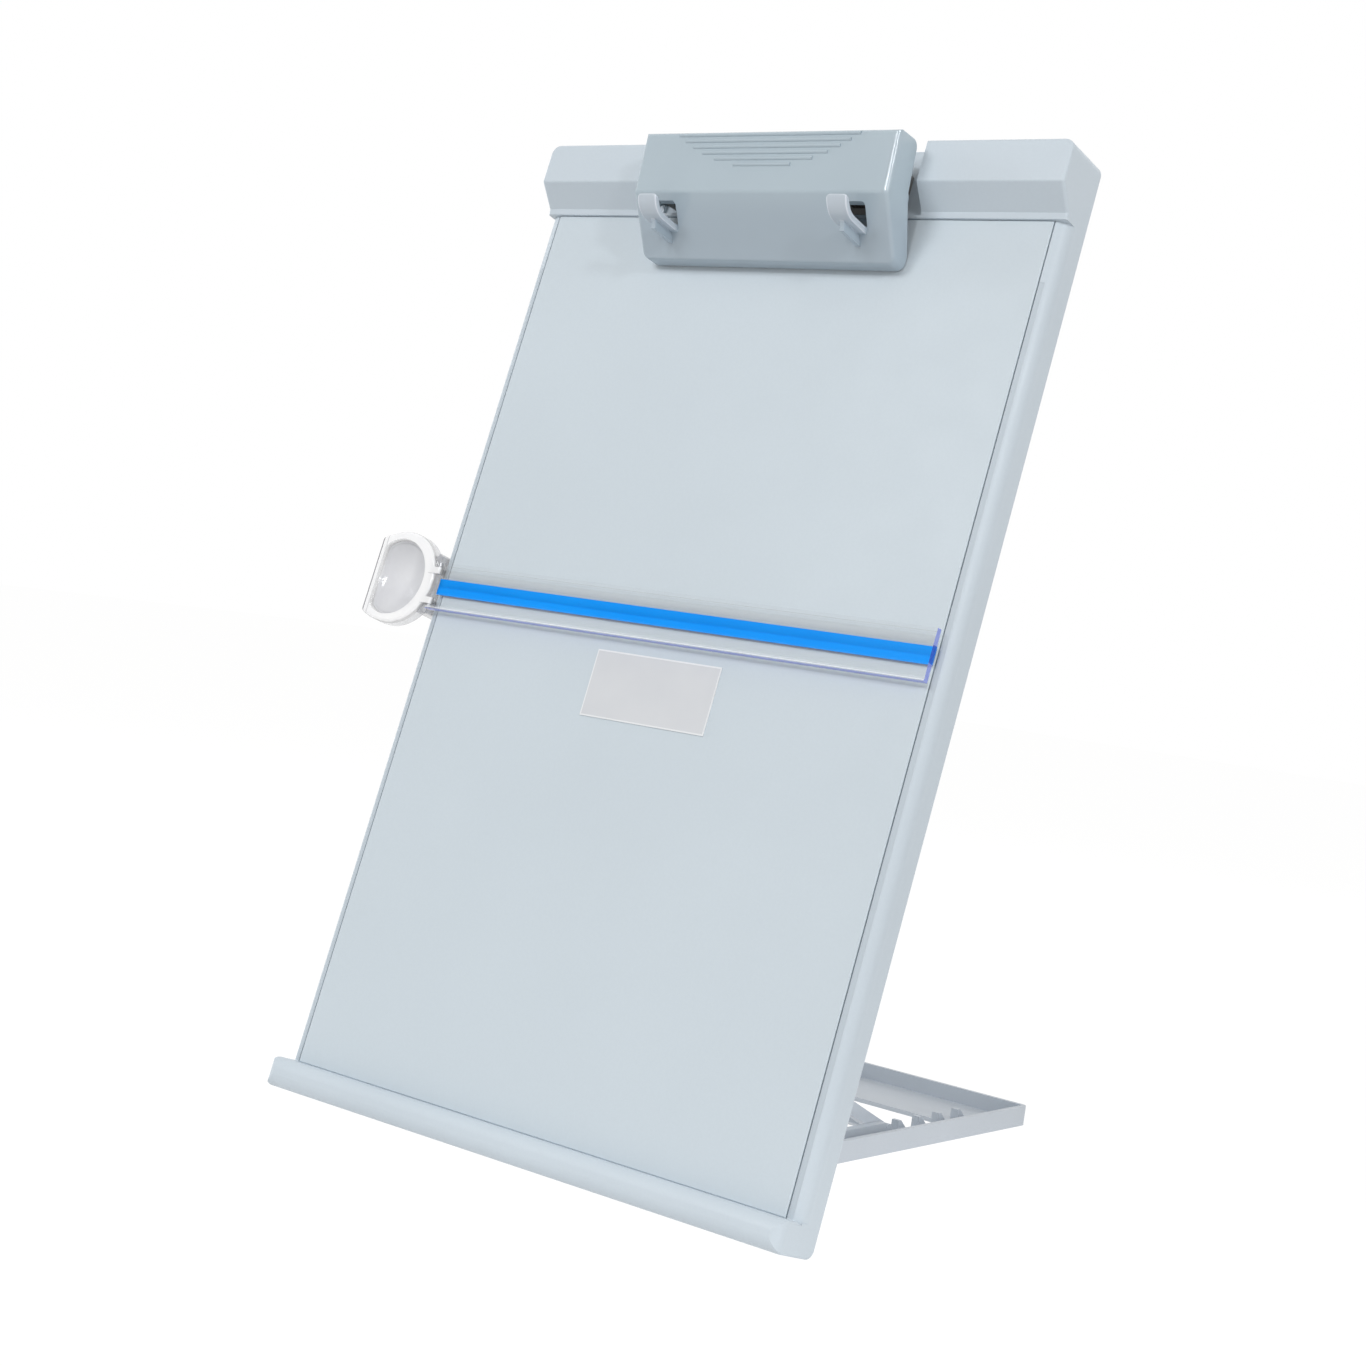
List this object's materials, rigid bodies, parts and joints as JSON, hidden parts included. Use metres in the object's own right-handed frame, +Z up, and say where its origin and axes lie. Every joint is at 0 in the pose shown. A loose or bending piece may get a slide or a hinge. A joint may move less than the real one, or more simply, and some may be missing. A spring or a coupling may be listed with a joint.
{
  "type": "copy holder",
  "caption": "Leaning desktop copy holder: a panel with a paper ledge, a sprung top clip, a sliding and flipping line guide, and a fold-out foot with a notched prop.",
  "frame": {"origin": "on the desk, under the middle of the foot's front floor, halfway across the board", "axes": "+X to the right as the reader sees the board, +Y away from the reader along the foot, +Z up from the desk"},
  "size_m": [0.2596, 0.2956, 0.3726],
  "materials": {
    "body_plastic": "fine textured light grey",
    "panel_plastic": "satin light grey",
    "label": "satin, blank",
    "clip_plastic": "gloss blue-grey",
    "foot_plastic": "satin grey",
    "clear_plastic": "clear, polished",
    "blue_film": "coloured film",
    "felt": "felt",
    "steel": "plain"
  },
  "bodies": {
    "board": {"frame_body": "body_plastic", "front_panel": "panel_plastic", "label_plate": "label", "rear_cover": "body_plastic", "cover_screws": "steel", "clip_base": "body_plastic", "clip_base_screws": "steel", "clip_pin": "steel", "clip_spring_left": "steel", "clip_spring_right": "steel", "foot_pins": "steel", "prop_pin": "steel"},
    "clip": {"clip_cover": "clip_plastic"},
    "slider": {"slider_grip": "clear_plastic", "slider_jaw": "clear_plastic", "slider_pad": "felt", "slider_screws": "steel", "guide_pins": "steel"},
    "guide": {"guide_strip": "clear_plastic", "guide_stripe": "blue_film"},
    "foot": {"foot_frame": "foot_plastic"},
    "prop": {"prop_frame": "foot_plastic"}
  },
  "joints": [
    {"name": "clip_press", "type": "hinge", "parent": "board", "child": "clip", "pos_m": [0, 0.05305, 0.35126], "axis": [-1, 0, 0], "range_deg": [0, 22], "stiffness_Nm_per_rad": 0.4, "springref_deg": -28.65, "deforming": ["clip_spring_left", "clip_spring_right"]},
    {"name": "guide_slide", "type": "slide", "parent": "board", "child": "slider", "axis": [0, 0.2368, 0.9715], "range_m": [-0.16, 0.12]},
    {"name": "guide_flip", "type": "hinge", "parent": "slider", "child": "guide", "pos_m": [-0.1118, 0.02233, 0.19571], "axis": [0, -0.2368, -0.9715], "range_deg": [0, 100]},
    {"name": "foot_fold", "type": "hinge", "parent": "board", "child": "foot", "pos_m": [0, -0.012, 0.0042], "axis": [1, 0, 0], "range_deg": [0, 76.3]},
    {"name": "prop_fold", "type": "hinge", "parent": "board", "child": "prop", "pos_m": [0, 0.0031, 0.07207], "axis": [1, 0, 0], "range_deg": [0, 98.32]}
  ]
}
